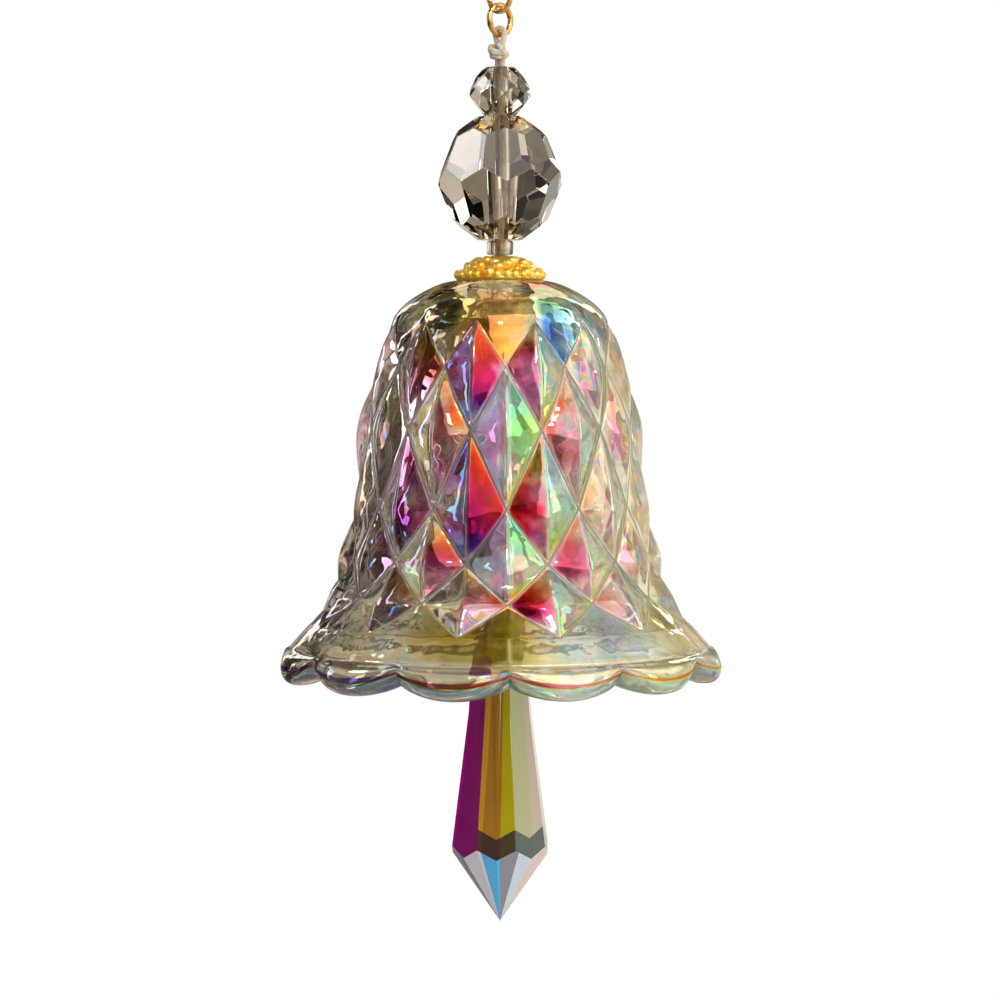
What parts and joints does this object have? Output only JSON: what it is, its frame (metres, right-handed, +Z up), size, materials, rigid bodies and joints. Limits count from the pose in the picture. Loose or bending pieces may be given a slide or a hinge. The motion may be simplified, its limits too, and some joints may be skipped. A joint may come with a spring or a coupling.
{
  "type": "glass bell",
  "caption": "Faceted glass bell with a scalloped rim, hung by a knotted cord with crystal beads, a granulated cap and a chain of rings, with a crystal icicle as its clapper.",
  "frame": {"origin": "the point inside the top of the hanging ring that a hook bears on; everything hangs below it on the Z axis", "axes": "+Z up along the cord and the bell's axis; -Y is the front, the side shown in the picture; +X is to the right seen from the front"},
  "size_m": [0.0704, 0.0704, 0.1681],
  "materials": {
    "gold": "polished gold plate",
    "cord": "translucent elastic cord",
    "smoky_crystal": "cut and polished, faint smoky brown",
    "clear_glass": "polished",
    "iridescent_glass": "polished, iridescent coating",
    "iridescent_crystal": "cut and polished, iridescent coating"
  },
  "bodies": {
    "hanger": {"hanging_ring": "gold"},
    "upper_link": {"chain_ring_upper": "gold"},
    "middle_link": {"chain_ring_middle": "gold"},
    "lower_link": {"chain_ring_lower": "gold"},
    "cord_line": {"cord": "cord", "cord_knot": "cord"},
    "small_bead": {"small_crystal_bead": "smoky_crystal"},
    "large_bead": {"large_crystal_bead": "smoky_crystal"},
    "spacer": {"spacer_bead": "clear_glass"},
    "cap": {"bead_cap": "gold"},
    "bell": {"glass_bell": "iridescent_glass"},
    "inner_cap": {"inner_cap": "gold"},
    "clapper_turn": {"stop_bead": "gold"},
    "clapper_line": {"clapper_cord": "cord", "loop_crimp": "gold"},
    "clapper_ring": {"clapper_ring": "gold"},
    "icicle": {"icicle_drop": "iridescent_crystal"}
  },
  "joints": [
    {"name": "upper_link_swing", "type": "hinge", "parent": "hanger", "child": "upper_link", "pos_m": [0, 0, -0.01375], "axis": [1, 0, 0], "range_deg": [-30, 30]},
    {"name": "middle_link_swing", "type": "hinge", "parent": "upper_link", "child": "middle_link", "pos_m": [0, 0, -0.01715], "axis": [0.7071, 0.7071, 0], "range_deg": [-30, 30]},
    {"name": "lower_link_swing", "type": "hinge", "parent": "middle_link", "child": "lower_link", "pos_m": [0, 0, -0.02085], "axis": [0.7071, -0.7071, 0], "range_deg": [-30, 30]},
    {"name": "cord_swing", "type": "hinge", "parent": "lower_link", "child": "cord_line", "pos_m": [0, 0, -0.02455], "axis": [0.7071, 0.7071, 0], "range_deg": [-25, 25]},
    {"name": "small_bead_spin", "type": "hinge", "parent": "cord_line", "child": "small_bead", "pos_m": [0, 0, -0.0336], "axis": [0, 0, 1], "continuous": true},
    {"name": "large_bead_spin", "type": "hinge", "parent": "cord_line", "child": "large_bead", "pos_m": [0, 0, -0.0473], "axis": [0, 0, 1], "continuous": true},
    {"name": "spacer_spin", "type": "hinge", "parent": "cord_line", "child": "spacer", "pos_m": [0, 0, -0.0583], "axis": [0, 0, 1], "continuous": true},
    {"name": "cap_spin", "type": "hinge", "parent": "cord_line", "child": "cap", "pos_m": [0, 0, -0.0615], "axis": [0, 0, 1], "continuous": true},
    {"name": "bell_spin", "type": "hinge", "parent": "cord_line", "child": "bell", "pos_m": [0, 0, -0.095], "axis": [0, 0, 1], "continuous": true},
    {"name": "inner_cap_spin", "type": "hinge", "parent": "cord_line", "child": "inner_cap", "pos_m": [0, 0, -0.07], "axis": [0, 0, 1], "continuous": true},
    {"name": "clapper_spin", "type": "hinge", "parent": "cord_line", "child": "clapper_turn", "pos_m": [0, 0, -0.07365], "axis": [0, 0, 1], "continuous": true},
    {"name": "clapper_swing", "type": "hinge", "parent": "clapper_turn", "child": "clapper_line", "pos_m": [0, 0, -0.07385], "axis": [0.0785, 0.9969, 0], "range_deg": [-12, 12]},
    {"name": "clapper_ring_swing", "type": "hinge", "parent": "clapper_line", "child": "clapper_ring", "pos_m": [0, 0, -0.10028], "axis": [0.9969, -0.0785, 0], "range_deg": [-12, 12]},
    {"name": "icicle_swing", "type": "hinge", "parent": "clapper_ring", "child": "icicle", "pos_m": [0, 0, -0.1062], "axis": [0.0785, 0.9969, 0], "range_deg": [-24, 24]}
  ]
}
